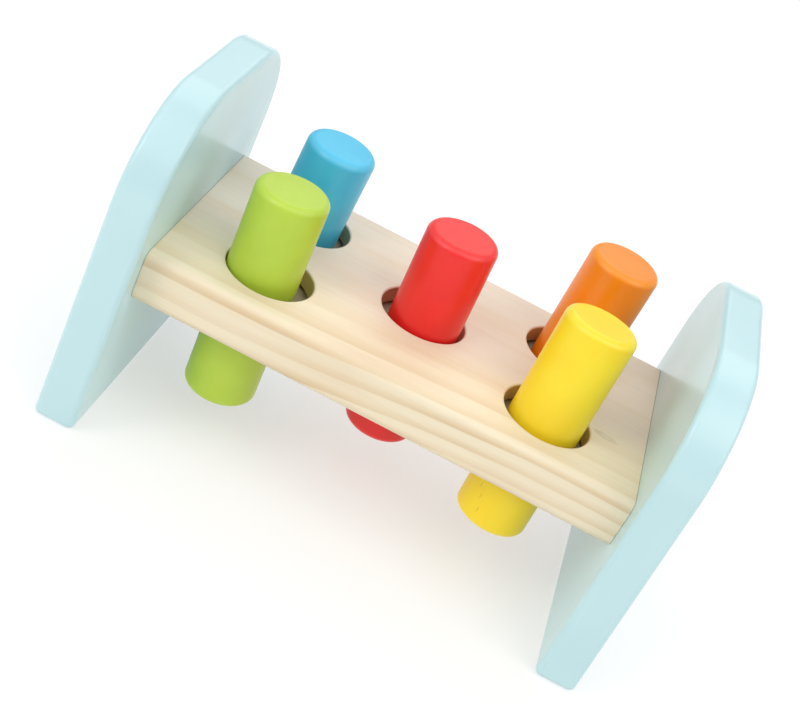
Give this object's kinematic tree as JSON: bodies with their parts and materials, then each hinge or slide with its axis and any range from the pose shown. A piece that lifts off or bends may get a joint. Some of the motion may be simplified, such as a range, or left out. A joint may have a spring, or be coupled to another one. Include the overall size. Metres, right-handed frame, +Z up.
{
  "type": "peg pounding bench",
  "caption": "Wooden toy bench with a pine plank between painted end boards and coloured pegs that are hammered through gripping holes, then back again when it is turned over.",
  "frame": {"origin": "on the table under the middle of the bench", "axes": "+X along the plank towards the right end board, +Y from front to back, +Z up along the end boards"},
  "size_m": [0.217, 0.128, 0.128],
  "materials": {
    "natural_pine": "sanded and clear lacquered",
    "aqua_paint": "satin aqua paint",
    "green_paint": "satin lime green paint",
    "blue_paint": "satin sky blue paint",
    "red_paint": "satin red paint",
    "orange_paint": "satin orange paint",
    "yellow_paint": "satin yellow paint",
    "grip_rubber": "matt",
    "beech": "plain turned",
    "zinc_steel": "bright zinc plated"
  },
  "bodies": {
    "bench": {"bench_plank": "natural_pine", "left_end_board": "aqua_paint", "right_end_board": "aqua_paint", "green_grip_ring": "grip_rubber", "blue_grip_ring": "grip_rubber", "red_grip_ring": "grip_rubber", "orange_grip_ring": "grip_rubber", "yellow_grip_ring": "grip_rubber", "left_front_dowel": "beech", "left_back_dowel": "beech", "right_front_dowel": "beech", "right_back_dowel": "beech", "left_front_screw": "zinc_steel", "left_back_screw": "zinc_steel", "right_front_screw": "zinc_steel", "right_back_screw": "zinc_steel"},
    "green_peg": {"green_peg": "green_paint"},
    "blue_peg": {"blue_peg": "blue_paint"},
    "red_peg": {"red_peg": "red_paint"},
    "orange_peg": {"orange_peg": "orange_paint"},
    "yellow_peg": {"yellow_peg": "yellow_paint"}
  },
  "joints": [
    {"name": "green_peg_slide", "type": "slide", "parent": "bench", "child": "green_peg", "axis": [-0.033, 0.009, 0.9994], "range_m": [-0.0195, 0.0195]},
    {"name": "blue_peg_slide", "type": "slide", "parent": "bench", "child": "blue_peg", "axis": [0.036, 0.009, 0.9993], "range_m": [-0.0195, 0.0195]},
    {"name": "red_peg_slide", "type": "slide", "parent": "bench", "child": "red_peg", "axis": [-0.03, 0.009, 0.9995], "range_m": [-0.0228, 0.0162]},
    {"name": "orange_peg_slide", "type": "slide", "parent": "bench", "child": "orange_peg", "axis": [0.024, 0.015, 0.9996], "range_m": [-0.0302, 0.0088]},
    {"name": "yellow_peg_slide", "type": "slide", "parent": "bench", "child": "yellow_peg", "axis": [0.0179, 0.1044, 0.9944], "range_m": [-0.0269, 0.0121]}
  ]
}
